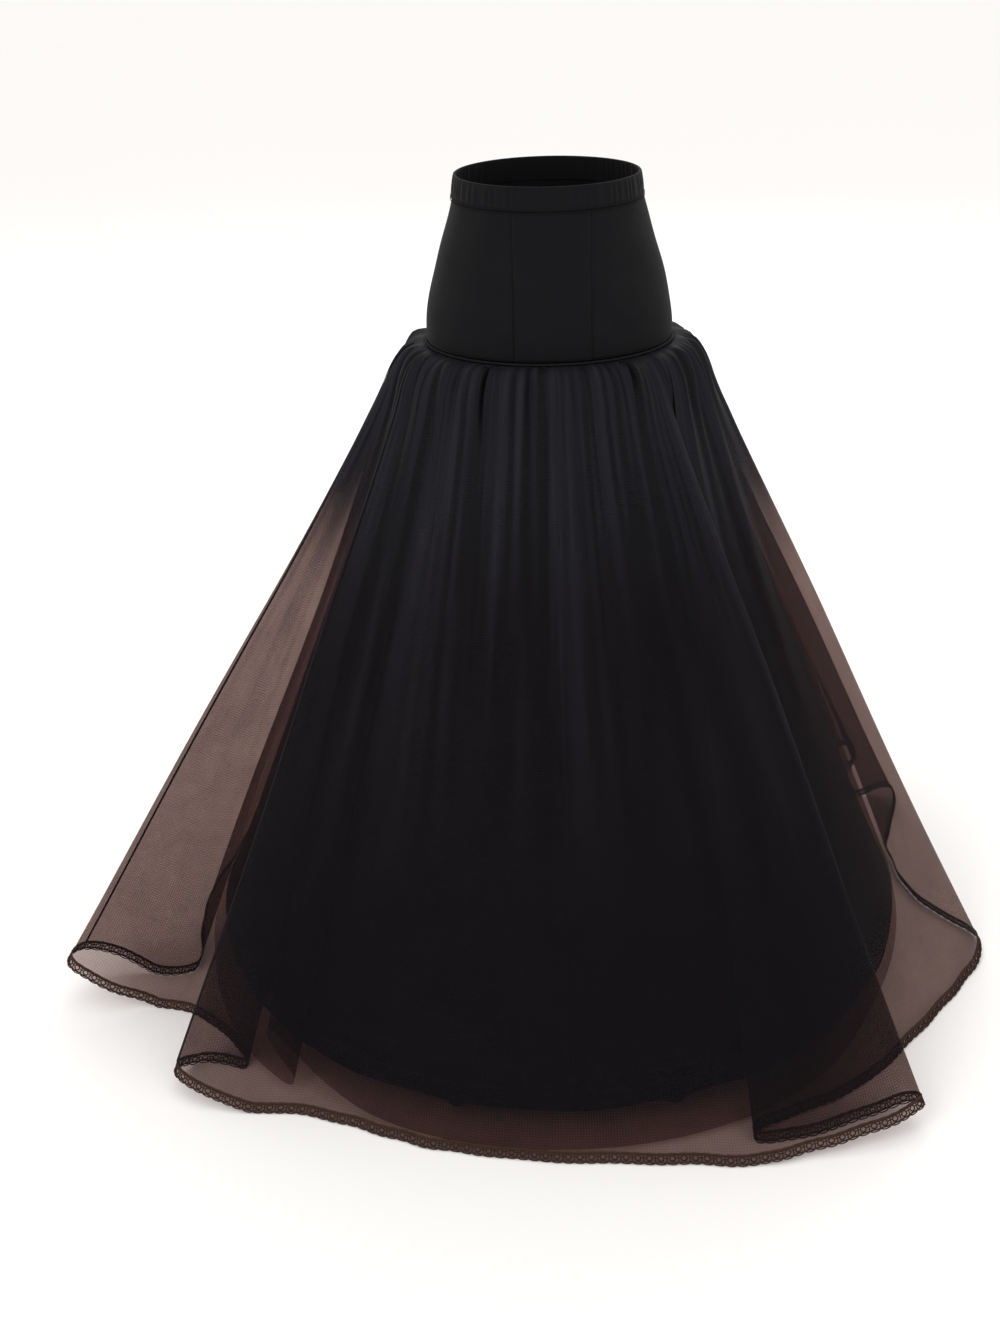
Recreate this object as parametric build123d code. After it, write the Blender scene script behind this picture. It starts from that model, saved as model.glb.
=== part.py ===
from build123d import *
import math
import os

# A hoop petticoat, in millimetres. The origin is the centre of the waist opening at the top edge
# of the waistband, +Z is up, the wearer's front faces -Y.

# Driving dimensions
CLOTH = 1.0                  # thickness given to every sheer or lining sheet
YOKE_CLOTH = 1.2             # thickness of the knitted yoke
LACE_CLOTH = 1.6             # thickness of the corded lace
PLY = 0.8                    # one ply of the folded waist casing

WAIST_X, WAIST_Y = 95.0, 91.0            # half width and half depth of the waist opening
CASING_DEPTH = 24.0                      # height of the waist casing
CASING_FLARE = 3.0                       # how much wider the casing is at its foot
ELASTIC_TOP, ELASTIC_BOTTOM = -3.0, -21.0

YOKE_Z = (-24.0, -75.0, -125.0, -172.0)  # four levels of the yoke, then its half widths and depths
YOKE_X = (101.2, 116.0, 129.5, 134.0)
YOKE_Y = (97.2, 106.0, 114.0, 118.0)
PANEL_HALF = 40.0                        # the princess seams are this far from the centre line

SEAM_TOP, SEAM_BOTTOM = -172.0, -176.0   # the overlocked gathering seam
SEAM_IN, SEAM_OUT = -2.0, 4.5            # its section, measured from the foot of the yoke
SHOULDER_Z = -185.0                      # where the gathers stand furthest off the yoke

HOOP_LEVEL = -866.0                      # the lining is a cone to here and hangs straight below
LINING_HEM = -898.0
HOOP_RADIUS = 418.0                      # outside of the lining round the hoop

CHANNEL_TOP, CHANNEL_BOTTOM = -868.0, -890.0
CHANNEL_DEPTH = 3.8
STEEL_THICK, STEEL_WIDE = 1.6, 14.0
JOINER_LENGTH = 30.0

FLOOR = -926.0
SHEET_LENGTH = 828.0                     # outer sheet, from the shoulder of the gathers to its hem
SHEET_LEVELS = (0.05, 0.1, 0.2, 0.4)     # extra levels of the outer sheet, as shares of that length
LACE_WIDTH = 13.0
INNER_HEM = -898.0                       # hem of the inner sheer skirt
INNER_HEM_RADIUS = 437.0
INNER_WAVE, INNER_WAVES = 3.0, 14
INNER_FOLD_AT, INNER_FOLD_REACH, INNER_FOLD_HALF = -133.5, 27.0, 3.8   # one fold stands off the hoop

# Where each layer leaves the gathering seam and where its shoulder is, as offsets of an ellipse.
LINING_SEAM, LINING_SHOULDER = -0.8, 13.0
INNER_SEAM, INNER_SHOULDER = 1.2, 16.0
OUTER_SEAM, OUTER_SHOULDER = 3.2, 19.0

# The hem of the outer sheet seen from above: x, y, and the angle on the gathering seam that the
# cloth there hangs from. It runs anticlockwise from the root of the left flap.
OUTER_FRONT = (
    (-590, -150, -177.0),
    (-578, -176, -175.5),
    (-533, -184, -173.0),
    (-489, -180, -170.5),
    (-434, -200, -167.0),
    (-394, -240, -164.0),
    (-366, -280, -161.4),
    (-366, -297, -160.6),
    (-392, -289, -159.8),
    (-424, -288, -159.0),
    (-440, -318, -158.2),
    (-414, -350, -155.0),
    (-368, -368, -147.5),
    (-296, -376, -137.2),
    (-245, -395, -129.0),
    (-188, -420, -120.5),
    (-131, -440, -112.0),
    (-16, -461, -93.0),
    (128, -470, -74.0),
    (190, -474, -66.0),
    (262, -462, -57.0),
    (335, -444, -51.0),
    (370, -420, -48.5),
    (354, -402, -46.8),
    (300, -416, -45.2),
    (235, -438, -43.6),
    (192, -440, -42.5),
    (200, -418, -41.2),
    (250, -396, -38.0),
    (312, -362, -32.5),
    (352, -326, -27.5),
    (392, -284, -22.0),
    (447, -219, -14.5),
    (500, -150, -8.0),
)
OUTER_RIGHT = (
    (517, -112, -5.0),
    (511, -76, -2.5),
    (480, -34, 1.0),
    (458, 18, 5.0),
    (452, 75, 10.0),
    (454, 130, 15.0),
)
# The folds of the back: the direction each one points and how far it reaches.
BACK_FOLDS = ((27, 548), (38, 568), (55, 524), (75, 546), (96, 520), (117, 526), (138, 500), (154, 478))
BACK_VALLEY = 458.0
OUTER_LEFT = (
    (-452, 60, 171.5),
    (-455, -10, 174.5),
    (-448, -70, 176.8),
    (-450, -110, 178.6),
    (-490, -118, 180.0),
    (-540, -100, 181.2),
    (-580, -116, 182.2),
)
STEPS = 3                                # how many stretches the curve between two hem points gets
# The outer sheet is sewn from panels. Each starts at this hem point and ends where the next starts.
OUTER_PANELS = (("left", 0), ("front", 10), ("right", 22), ("back_right", 33), ("back", 48), ("back_left", 57))
LINING_GORES = 8                         # the lining is cut as this many equal gores

os.makedirs("parts", exist_ok=True)


def ellipse_face(half_x, half_y, z):
    return Plane.XY.offset(z) * Ellipse(half_x, half_y)


def tapered_ring(levels, half_xs, half_ys, wall, ruled=True):
    """A shell with the given outline at each level, and its wall measured inwards."""
    outer = loft([ellipse_face(x, y, z) for z, x, y in zip(levels, half_xs, half_ys)], ruled=ruled)
    inner = loft([ellipse_face(x - wall, y - wall, z) for z, x, y in zip(levels, half_xs, half_ys)], ruled=ruled)
    return outer - inner


def half_space(x_low, x_high, y_low, y_high):
    """A tall box for cutting a shell into panels."""
    centre = ((x_low + x_high) / 2, (y_low + y_high) / 2, -500)
    return Pos(*centre) * Box(x_high - x_low, y_high - y_low, 1200)


def wedge(angle_from, angle_to):
    """A tall three-sided prism from the centre line out, for cutting a shell into gores."""
    reach = 900
    corners = [(0, 0)]
    for angle in (angle_from, angle_to):
        turn = math.radians(angle)
        corners.append((reach * math.cos(turn), reach * math.sin(turn)))
    return Pos(0, 0, -1100) * extrude(make_face(Polyline(*corners, close=True)), 1200)


def seam_point(angle, offset, z):
    """A point of the gathering seam's ellipse, grown by an offset, at an angle in degrees."""
    turn = math.radians(angle)
    return (
        (YOKE_X[-1] + offset) * math.cos(turn),
        (YOKE_Y[-1] + offset) * math.sin(turn),
        z,
    )


def curve_value(values, index, share):
    """A smooth value between two of a list's entries, from the four round them."""
    before, start, end, after = values[index - 1: index + 3]
    pull = 0.5 * (end - before)
    push = 0.5 * (after - start)
    square, cube = share ** 2, share ** 3
    return (
        (2 * cube - 3 * square + 1) * start
        + (cube - 2 * square + share) * pull
        + (3 * square - 2 * cube) * end
        + (cube - square) * push
    )


def smooth_loop(points, steps):
    """More points on a closed loop of (x, y, angle), where one turn of the angle is 360."""
    last = [(x, y, angle - 360) for x, y, angle in points[-1:]]
    first = [(x, y, angle + 360) for x, y, angle in points[:2]]
    columns = list(zip(*(last + list(points) + first)))
    loop = []
    for index in range(1, len(points) + 1):
        for step in range(steps):
            loop.append(tuple(curve_value(column, index, step / steps) for column in columns))
    return loop


def back_folds():
    """The back of the outer hem: a narrow round fold in each direction, with valleys between."""
    points = []
    for place, (direction, reach) in enumerate(BACK_FOLDS):
        following = BACK_FOLDS[place + 1][0] if place + 1 < len(BACK_FOLDS) else direction + 14
        valley = (direction + following) / 2
        for angle, radius in ((direction - 2, reach - 10), (direction + 2, reach - 10), (valley, BACK_VALLEY)):
            turn = math.radians(angle)
            points.append((radius * math.cos(turn), radius * math.sin(turn), angle))
    return tuple(points)


def hem_point(x, y, angle):
    """The sheet is one length everywhere, so a hem that stands further out hangs higher."""
    top = seam_point(angle, OUTER_SHOULDER, SHOULDER_Z)
    reach = math.hypot(x - top[0], y - top[1])
    drop = math.sqrt(SHEET_LENGTH ** 2 - reach ** 2)
    return (x, y, max(SHOULDER_Z - drop, FLOOR))


def between(start, end, share):
    return tuple(a + (b - a) * share for a, b in zip(start, end))


def level_normals(points):
    """The level direction that points out of a closed loop, at each of its points."""
    normals = []
    for index, point in enumerate(points):
        before = points[index - 1]
        after = points[(index + 1) % len(points)]
        along_x, along_y = after[0] - before[0], after[1] - before[1]
        size = math.hypot(along_x, along_y)
        normals.append((along_y / size, -along_x / size))
    return normals


def moved_out(points, normals, distance):
    return [(x + nx * distance, y + ny * distance, z) for (x, y, z), (nx, ny) in zip(points, normals)]


def sheet_solid(rows, thickness, start, end):
    """A thin closed solid from rows of matching points, top row first, between two columns."""
    count = len(rows[0])
    columns = [index % count for index in range(start, end + 1)]
    share = [step / (end - start) for step in range(end - start + 1)]
    edges = {}
    corners = {}
    for level, row in enumerate(rows):
        normals = level_normals(row)
        for side in (1, -1):
            skin = moved_out(row, normals, side * thickness / 2)
            points = [skin[column] for column in columns]
            edges[level, side] = Edge.make_spline(points, parameters=share)
            corners[level, side] = (points[0], points[-1])
    faces = []
    for level in range(len(rows) - 1):
        for side in (1, -1):
            faces.append(Face.make_surface_from_curves(edges[level, side], edges[level + 1, side]))
        for tip in (0, 1):
            outer = Edge.make_line(corners[level, 1][tip], corners[level + 1, 1][tip])
            inner = Edge.make_line(corners[level, -1][tip], corners[level + 1, -1][tip])
            faces.append(Face.make_surface_from_curves(outer, inner))
    for level in (0, len(rows) - 1):
        faces.append(Face.make_surface_from_curves(edges[level, 1], edges[level, -1]))
    return Solid(Shell(faces))


def outer_hem():
    """The whole hem of the outer sheet."""
    return smooth_loop(OUTER_FRONT + OUTER_RIGHT + back_folds() + OUTER_LEFT, STEPS)


def make_waist():
    """The doubled casing, open at its foot where it is stitched, and the elastic inside it."""

    def ring(inset, wall, top=0.0, bottom=-CASING_DEPTH):
        grow_top = CASING_FLARE * -top / CASING_DEPTH + inset + wall
        grow_bottom = CASING_FLARE * -bottom / CASING_DEPTH + inset + wall
        xs = (WAIST_X + grow_top, WAIST_X + grow_bottom)
        ys = (WAIST_Y + grow_top, WAIST_Y + grow_bottom)
        return tapered_ring((top, bottom), xs, ys, wall)

    inner_ply = ring(0, PLY)
    outer_ply = ring(2.4, PLY)
    fold = ring(0, 2.4 + PLY, top=0.0, bottom=-PLY)
    export_part(inner_ply + outer_ply + fold, "waist_casing")
    export_part(ring(PLY + 0.05, 1.5, ELASTIC_TOP, ELASTIC_BOTTOM), "waist_elastic")


def make_yoke():
    shell = tapered_ring(YOKE_Z, YOKE_X, YOKE_Y, YOKE_CLOTH, ruled=False)
    export_part(shell & half_space(-PANEL_HALF, PANEL_HALF, -300, 0), "yoke_front_centre")
    export_part(shell & half_space(-300, -PANEL_HALF, -300, 0), "yoke_front_left")
    export_part(shell & half_space(PANEL_HALF, 300, -300, 0), "yoke_front_right")
    export_part(shell & half_space(-300, 300, 0, 300), "yoke_back")
    band = tapered_ring(
        (SEAM_TOP, SEAM_BOTTOM),
        (YOKE_X[-1] + SEAM_OUT,) * 2,
        (YOKE_Y[-1] + SEAM_OUT,) * 2,
        SEAM_OUT - SEAM_IN,
    )
    export_part(band, "yoke_seam")


def make_lining():
    levels = (SEAM_BOTTOM, SHOULDER_Z, HOOP_LEVEL, LINING_HEM)
    half_xs = (YOKE_X[-1] + LINING_SEAM, YOKE_X[-1] + LINING_SHOULDER, HOOP_RADIUS, HOOP_RADIUS)
    half_ys = (YOKE_Y[-1] + LINING_SEAM, YOKE_Y[-1] + LINING_SHOULDER, HOOP_RADIUS, HOOP_RADIUS)
    shell = tapered_ring(levels, half_xs, half_ys, CLOTH)
    width = 360 / LINING_GORES
    for gore in range(LINING_GORES):
        piece = shell & wedge(gore * width, (gore + 1) * width)
        export_part(piece, f"lining_gore_{gore + 1}")


def ring_band(radius_in, radius_out, z_low, z_high):
    outline = Circle(radius_out) - Circle(radius_in)
    return extrude(Plane.XY.offset(z_low) * outline, z_high - z_low)


def make_hoop():
    face = HOOP_RADIUS - CLOTH
    tape = ring_band(face - CHANNEL_DEPTH, face, CHANNEL_BOTTOM, CHANNEL_TOP)
    channel = ring_band(face - CHANNEL_DEPTH + PLY, face + 1, CHANNEL_BOTTOM + 2, CHANNEL_TOP - 2)
    export_part(tape - channel, "hoop_casing")

    steel_out = face - 0.75
    steel_low = CHANNEL_BOTTOM + 2.4
    steel = ring_band(steel_out - STEEL_THICK, steel_out, steel_low, steel_low + STEEL_WIDE)
    gap = Pos(0, face, steel_low) * Box(1.5, 40, 60)
    export_part(steel - gap, "hoop")

    wall = 0.35
    sleeve = ring_band(
        steel_out - STEEL_THICK - wall,
        steel_out + wall,
        steel_low - wall,
        steel_low + STEEL_WIDE + wall,
    )
    sleeve &= Pos(0, face, steel_low) * Box(JOINER_LENGTH, 60, 60)
    export_part(sleeve - steel, "hoop_joiner")


def make_inner_net():
    count = 120
    angles = [-180 + 360 * index / count for index in range(count)]
    top = [seam_point(angle, INNER_SEAM, SEAM_BOTTOM) for angle in angles]
    shoulder = [seam_point(angle, INNER_SHOULDER, SHOULDER_Z) for angle in angles]
    hem = []
    for angle in angles:
        turn = math.radians(angle)
        radius = INNER_HEM_RADIUS + INNER_WAVE * math.cos(INNER_WAVES * turn)
        radius += INNER_FOLD_REACH * math.exp(-((angle - INNER_FOLD_AT) / INNER_FOLD_HALF) ** 2)
        hem.append((radius * math.cos(turn), radius * math.sin(turn), INNER_HEM))
    rows = (top, shoulder, hem)
    export_part(sheet_solid(rows, CLOTH, 0, count // 2), "net_inner_front")
    export_part(sheet_solid(rows, CLOTH, count // 2, count), "net_inner_back")


def make_outer_net():
    loop = outer_hem()
    top = [seam_point(angle, OUTER_SEAM, SEAM_BOTTOM) for x, y, angle in loop]
    shoulder = [seam_point(angle, OUTER_SHOULDER, SHOULDER_Z) for x, y, angle in loop]
    hem = [hem_point(x, y, angle) for x, y, angle in loop]
    lace_top = [between(low, high, LACE_WIDTH / SHEET_LENGTH) for low, high in zip(hem, shoulder)]
    levels = [[between(high, low, share) for high, low in zip(shoulder, hem)] for share in SHEET_LEVELS]
    net_rows = (top, shoulder, *levels, lace_top)
    lace_rows = (lace_top, hem)
    starts = [point * STEPS for name, point in OUTER_PANELS] + [len(loop)]
    for place, (name, point) in enumerate(OUTER_PANELS):
        export_part(sheet_solid(net_rows, CLOTH, starts[place], starts[place + 1]), f"net_outer_{name}")
        export_part(sheet_solid(lace_rows, LACE_CLOTH, starts[place], starts[place + 1]), f"lace_{name}")


def export_part(solid, name):
    export_step(solid, f"parts/{name}.step")


make_waist()
make_yoke()
make_lining()
make_hoop()
make_inner_net()
make_outer_net()
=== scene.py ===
import math

import bpy
import numpy as np
from mathutils import Matrix, Vector


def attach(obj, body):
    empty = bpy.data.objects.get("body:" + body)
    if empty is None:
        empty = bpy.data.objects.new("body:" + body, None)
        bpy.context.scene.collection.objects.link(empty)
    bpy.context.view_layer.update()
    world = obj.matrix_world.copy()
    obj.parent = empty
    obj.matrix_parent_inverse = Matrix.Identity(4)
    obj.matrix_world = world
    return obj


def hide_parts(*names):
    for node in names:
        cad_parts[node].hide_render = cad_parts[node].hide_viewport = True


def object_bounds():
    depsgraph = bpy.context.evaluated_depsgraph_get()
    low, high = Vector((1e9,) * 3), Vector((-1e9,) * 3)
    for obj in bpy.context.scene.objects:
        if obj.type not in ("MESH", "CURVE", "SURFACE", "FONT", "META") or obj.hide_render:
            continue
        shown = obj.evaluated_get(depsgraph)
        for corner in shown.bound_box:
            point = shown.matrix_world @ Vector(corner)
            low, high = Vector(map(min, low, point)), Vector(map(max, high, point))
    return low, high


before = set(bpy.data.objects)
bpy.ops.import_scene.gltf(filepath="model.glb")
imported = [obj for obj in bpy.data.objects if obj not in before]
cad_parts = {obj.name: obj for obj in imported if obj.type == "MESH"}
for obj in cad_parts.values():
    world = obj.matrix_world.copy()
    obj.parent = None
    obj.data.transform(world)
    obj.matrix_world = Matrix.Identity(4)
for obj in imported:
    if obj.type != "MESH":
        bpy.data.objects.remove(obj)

cad_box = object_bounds()
MM = 0.001
TURN = 2 * math.pi

# The garment's own sizes, in metres, as the solids have them.
YOKE_LEVELS = (-0.024, -0.075, -0.125, -0.172)
YOKE_HALF_X = (0.1012, 0.116, 0.1295, 0.134)
YOKE_HALF_Y = (0.0972, 0.106, 0.114, 0.118)
PRINCESS_X = 0.040
CASING_FOOT = 0.024
WAIST_X, WAIST_Y = 0.095, 0.091
CASING_FLARE = 0.003
FOLD_MIDDLE, FOLD_HALF, FOLD_DROP = 0.0018, 0.0014, 0.0016   # the round of the casing's folded top
SEAM_Z, SHOULDER_Z = -0.176, -0.185
HOOP_Z, LINING_HEM_Z, HOOP_RADIUS = -0.866, -0.897, 0.418
FLOOR_Z = -0.926
SHEET_LENGTH = 0.828
LACE_WIDTH, LACE_PITCH = 0.013, 0.012

# How far outside the foot of the yoke each layer leaves the seam, and where its shoulder stands.
OUTER_SEAM, OUTER_SHOULDER = 0.0032, 0.019
INNER_SEAM, INNER_SHOULDER = 0.0012, 0.016
LINING_SEAM, LINING_SHOULDER = -0.0008, 0.013
OUTER_COLUMNS, INNER_COLUMNS, LINING_COLUMNS = 1400, 900, 960
HEM_ROWS = 12                            # rows of points in the lining below the hoop's top edge

# The outer hem seen from above, in millimetres, with the angle on the yoke seam that the cloth at
# each point hangs from. It starts at the left flap and runs round the front.
OUTER_FRONT = (
    (-590, -150, -177.0),
    (-578, -176, -175.5),
    (-533, -184, -173.0),
    (-489, -180, -170.5),
    (-434, -200, -167.0),
    (-394, -240, -164.0),
    (-366, -280, -161.4),
    (-366, -297, -160.6),
    (-392, -289, -159.8),
    (-424, -288, -159.0),
    (-440, -318, -158.2),
    (-414, -350, -155.0),
    (-368, -368, -147.5),
    (-296, -376, -137.2),
    (-245, -395, -129.0),
    (-188, -420, -120.5),
    (-131, -440, -112.0),
    (-16, -461, -93.0),
    (128, -470, -74.0),
    (190, -474, -66.0),
    (262, -462, -57.0),
    (335, -444, -51.0),
    (370, -420, -48.5),
    (354, -402, -46.8),
    (300, -416, -45.2),
    (235, -438, -43.6),
    (192, -440, -42.5),
    (200, -418, -41.2),
    (250, -396, -38.0),
    (312, -362, -32.5),
    (352, -326, -27.5),
    (392, -284, -22.0),
    (447, -219, -14.5),
    (500, -150, -8.0),
)
OUTER_RIGHT = (
    (517, -112, -5.0),
    (511, -76, -2.5),
    (480, -34, 1.0),
    (458, 18, 5.0),
    (452, 75, 10.0),
    (454, 130, 15.0),
)
BACK_FOLDS = ((27, 548), (38, 568), (55, 524), (75, 546), (96, 520), (117, 526), (138, 500), (154, 478))
BACK_VALLEY = 458
OUTER_LEFT = (
    (-452, 60, 171.5),
    (-455, -10, 174.5),
    (-448, -70, 176.8),
    (-450, -110, 178.6),
    (-490, -118, 180.0),
    (-540, -100, 181.2),
    (-580, -116, 182.2),
)
# The hem points where the front panels end, and where the panel seams that show end.
SIDE_SEAM_RIGHT = len(OUTER_FRONT) - 1
SEWN_SEAMS = (10, 48, 57, 70)

# Two small pleats under the yoke: their seam angle and how far down they run.
PLEATS = ((-117.0, 0.06), (-60.0, 0.03))

# The inner hem in the same way: how far its direction leads or lags its seam angle, its distance
# from the axis, its level, and the seam angle. Its one fold hangs at the front left.
INNER_HEM = (
    (0, 432, -894, -180.0),
    (1, 438, -900, -166.0),
    (2, 450, -908, -154.0),
    (3, 457, -914, -146.5),
    (5.5, 460, -916, -141.0),
    (7.2, 459, -915, -139.4),
    (4.7, 448, -912, -138.2),
    (-1.8, 440, -906, -137.2),
    (-6.0, 433, -902, -136.4),
    (-6.4, 428, -900, -135.6),
    (-2.5, 430, -901, -133.5),
    (0, 440, -909, -127.0),
    (0, 448, -916, -118.0),
    (0, 450, -919, -105.0),
    (0, 450, -919, -90.0),
    (0, 450, -919, -75.0),
    (0, 449, -917, -60.0),
    (0, 444, -910, -48.0),
    (0, 432, -895, -34.0),
    (0, 425, -890, -15.0),
    (0, 427, -890, 10.0),
    (0, 425, -890, 35.0),
    (0, 427, -890, 60.0),
    (0, 425, -890, 90.0),
    (0, 427, -890, 120.0),
    (0, 425, -890, 145.0),
    (0, 427, -890, 165.0),
)


# ---------------------------------------------------------------- shapes

def back_folds():
    """The back of the hem: one narrow round fold in each direction, with valleys between."""
    points = []
    for place, (direction, reach) in enumerate(BACK_FOLDS):
        following = BACK_FOLDS[place + 1][0] if place + 1 < len(BACK_FOLDS) else direction + 14
        valley = (direction + following) / 2
        tip = reach - 10
        for angle, radius in ((direction - 2, tip), (direction + 2, tip), (valley, BACK_VALLEY)):
            turn = math.radians(angle)
            points.append((radius * math.cos(turn), radius * math.sin(turn), angle))
    return tuple(points)


def smooth_loop(points, steps):
    """A closed smooth curve through rows of values. The last value of each row is an angle, which
    gains 360 in one turn."""
    rows = np.array(points, float)
    lap = np.zeros(rows.shape[1])
    lap[-1] = 360
    before, after = np.roll(rows, 1, 0), np.roll(rows, -1, 0)
    second = np.roll(rows, -2, 0)
    before[0] -= lap
    after[-1] += lap
    second[-2:] += lap
    share = (np.arange(steps) / steps)[None, :, None]
    start, end = rows[:, None], after[:, None]
    pull, push = (end - before[:, None]) / 2, (second[:, None] - start) / 2
    square, cube = share ** 2, share ** 3
    loop = (
        (2 * cube - 3 * square + 1) * start
        + (cube - 2 * square + share) * pull
        + (3 * square - 2 * cube) * end
        + (cube - square) * push
    ).reshape(-1, rows.shape[1])
    return np.vstack((loop, loop[:1] + lap))


def seam_ring(angles, grow, z):
    """Points of the yoke seam's ellipse, grown by an offset."""
    half_x, half_y = YOKE_HALF_X[-1] + grow, YOKE_HALF_Y[-1] + grow
    return np.stack((half_x * np.cos(angles), half_y * np.sin(angles), np.full_like(angles, z)), -1)


def travel(points):
    """How far along a row of points each one is."""
    steps = np.linalg.norm(np.diff(points, axis=0), axis=1)
    return np.concatenate(((0.0,), np.cumsum(steps)))


def even_columns(hem, angles, count):
    """Columns spread evenly over a hem and the seam it hangs from: for each one, its place among
    the hem's own points."""
    along_hem, along_seam = travel(hem), travel(seam_ring(angles, OUTER_SHOULDER, SHOULDER_Z))
    spread = along_hem / along_hem[-1] + 1.4 * along_seam / along_seam[-1]
    return np.interp(np.linspace(0, spread[-1], count + 1), spread, np.arange(len(spread)))


def picked(rows, places):
    """Values between the rows of an array, at fractional places."""
    rows = np.asarray(rows, float)
    whole = np.arange(len(rows))
    if rows.ndim == 1:
        return np.interp(places, whole, rows)
    return np.stack([np.interp(places, whole, rows[:, axis]) for axis in range(rows.shape[1])], -1)


def level_normals(grid):
    """For rows of points that each go once round, the level direction that points outwards."""
    ahead, behind = np.roll(grid[:, :-1], -1, 1), np.roll(grid[:, :-1], 1, 1)
    along = ahead - behind
    normal = np.stack((along[..., 1], -along[..., 0], np.zeros(along.shape[:2])), -1)
    normal /= np.maximum(np.linalg.norm(normal, axis=-1, keepdims=True), 1e-9)
    return np.concatenate((normal, normal[:, :1]), 1)


def hung_sheet(seam, shoulder, hem, rows, puff):
    """A sheet that puffs up out of a seam, turns over a shoulder and runs down to a hem, as rows of
    points. It also returns how far down each row is, from 0 to 1."""
    down = (np.arange(rows) / (rows - 1)) ** 1.7
    share = down[:, None, None]
    near = np.clip(1 - share / 0.045, 0, 1)
    grid = shoulder * (1 - share) + hem * share + (seam - shoulder) * near ** 2
    rise = share / 0.018 * np.exp(1 - share / 0.018) * puff
    outwards = shoulder * np.array((1, 1, 0))
    outwards = outwards / np.linalg.norm(outwards, axis=1, keepdims=True)
    return grid + rise * (0.3 * outwards + np.array((0, 0, 1.0))), down


def gathers(angles, down, fine, medium, coarse):
    """How far the gathered cloth stands out: fine pleats at the seam that run out into broad ones,
    which drift sideways as they go down."""
    t = down[:, None]
    a = angles[None, :] + 0.22 * t * np.cos(angles)[None, :]
    start = np.clip(t / 0.012, 0, 1)
    pleats = np.sin(97 * a + 2.1 * np.sin(7 * a + 1.0) + 1.3 * np.sin(17 * a))
    tucks = np.sin(37 * a + 1.9 * np.sin(5 * a + 2.0) + 0.9 * np.sin(11 * a + 0.4))
    waves = np.sin(14 * a + 1.6 * np.sin(3 * a + 0.7) + 0.8 * np.sin(8 * a + 2.2))
    out = fine * np.exp(-t / 0.06) * (0.5 + 0.5 * pleats)
    out = out + medium * np.exp(-t / 0.2) * (0.5 + 0.5 * tucks)
    out = out + coarse * np.clip(t / 0.1, 0, 1) * np.exp(-t / 0.55) * (0.5 + 0.5 * waves)
    return start * out


def kept_outside_lining(grid, gap):
    """Moves points outwards to where they clear the lining's cone and the hoop's edge."""
    down = np.clip((SHOULDER_Z - grid[..., 2]) / (SHOULDER_Z - HOOP_Z), 0, 1)
    half_x = (YOKE_HALF_X[-1] + LINING_SHOULDER) * (1 - down) + HOOP_RADIUS * down
    half_y = (YOKE_HALF_Y[-1] + LINING_SHOULDER) * (1 - down) + HOOP_RADIUS * down
    reach = np.hypot(grid[..., 0], grid[..., 1])
    limit = 1 / np.hypot(grid[..., 0] / reach / half_x, grid[..., 1] / reach / half_y)
    grow = np.where(grid[..., 2] < SHOULDER_Z, np.maximum(1, (limit + gap) / reach), 1)
    return grid * np.stack((grow, grow, np.ones_like(grow)), -1)


def outer_skirt():
    """The whole outer net as rows of points, with how far down and along they are and the column
    that each listed hem point falls on."""
    steps = 40
    loop = smooth_loop(OUTER_FRONT + OUTER_RIGHT + back_folds() + OUTER_LEFT, steps)
    plan, angles = loop[:, :2] * MM, np.radians(loop[:, 2])
    reach = np.linalg.norm(plan - seam_ring(angles, OUTER_SHOULDER, SHOULDER_Z)[:, :2], axis=1)
    drop = np.sqrt(SHEET_LENGTH ** 2 - reach ** 2)
    hem = np.column_stack((plan, np.maximum(SHOULDER_Z - drop, FLOOR_Z)))
    places = even_columns(hem, angles, OUTER_COLUMNS)
    marks = np.searchsorted(places, np.arange(0, len(loop) - 1, steps))
    hem, angles, along = picked(hem, places), picked(angles, places), picked(travel(hem), places)
    puff = (0.010 + 0.002 * np.sin(23 * angles))[None, :, None]
    seam, shoulder = seam_ring(angles, OUTER_SEAM, SEAM_Z), seam_ring(angles, OUTER_SHOULDER, SHOULDER_Z)
    grid, down = hung_sheet(seam, shoulder, hem, 64, puff)
    t = down[:, None]
    flutter = 0.0009 * t ** 3 * np.sin(TURN * 61 * along / along[-1] + 2 * np.sin(6 * angles))
    sway = 0.0035 * np.sin(math.pi * t) * np.sin(9 * angles + 5 * t + 1)
    out = gathers(angles, down, 0.0024, 0.0058, 0.0062) + flutter + sway * np.clip(t / 0.4, 0, 1)
    for place, length in PLEATS:
        lean = np.degrees(angles) - place
        fold = 0.010 * np.exp(-(lean / 2.6) ** 2) - 0.016 * np.exp(-(lean / 0.7) ** 2)
        out = out + fold * np.exp(-(t / length) ** 2)
    grid = grid + level_normals(grid) * out[..., None]
    return kept_outside_lining(grid, 0.0055), down, along, marks


def inner_skirt():
    """The inner net as rows of points, with how far down and along they are and their angles."""
    lead, radius, level, place = smooth_loop(INNER_HEM, 20).T
    turn, angles = np.radians(lead + place), np.radians(place)
    hem = np.stack((radius * np.cos(turn) * MM, radius * np.sin(turn) * MM, level * MM), -1)
    places = even_columns(hem, angles, INNER_COLUMNS)
    hem, angles = picked(hem, places), picked(angles, places)
    seam, shoulder = seam_ring(angles, INNER_SEAM, SEAM_Z), seam_ring(angles, INNER_SHOULDER, SHOULDER_Z)
    grid, down = hung_sheet(seam, shoulder, hem, 40, 0.006)
    grid = grid + level_normals(grid) * gathers(angles + 0.31, down, 0.0008, 0.0008, 0.0006)[..., None]
    return kept_outside_lining(grid, 0.0030), down, travel(hem), angles


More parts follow.
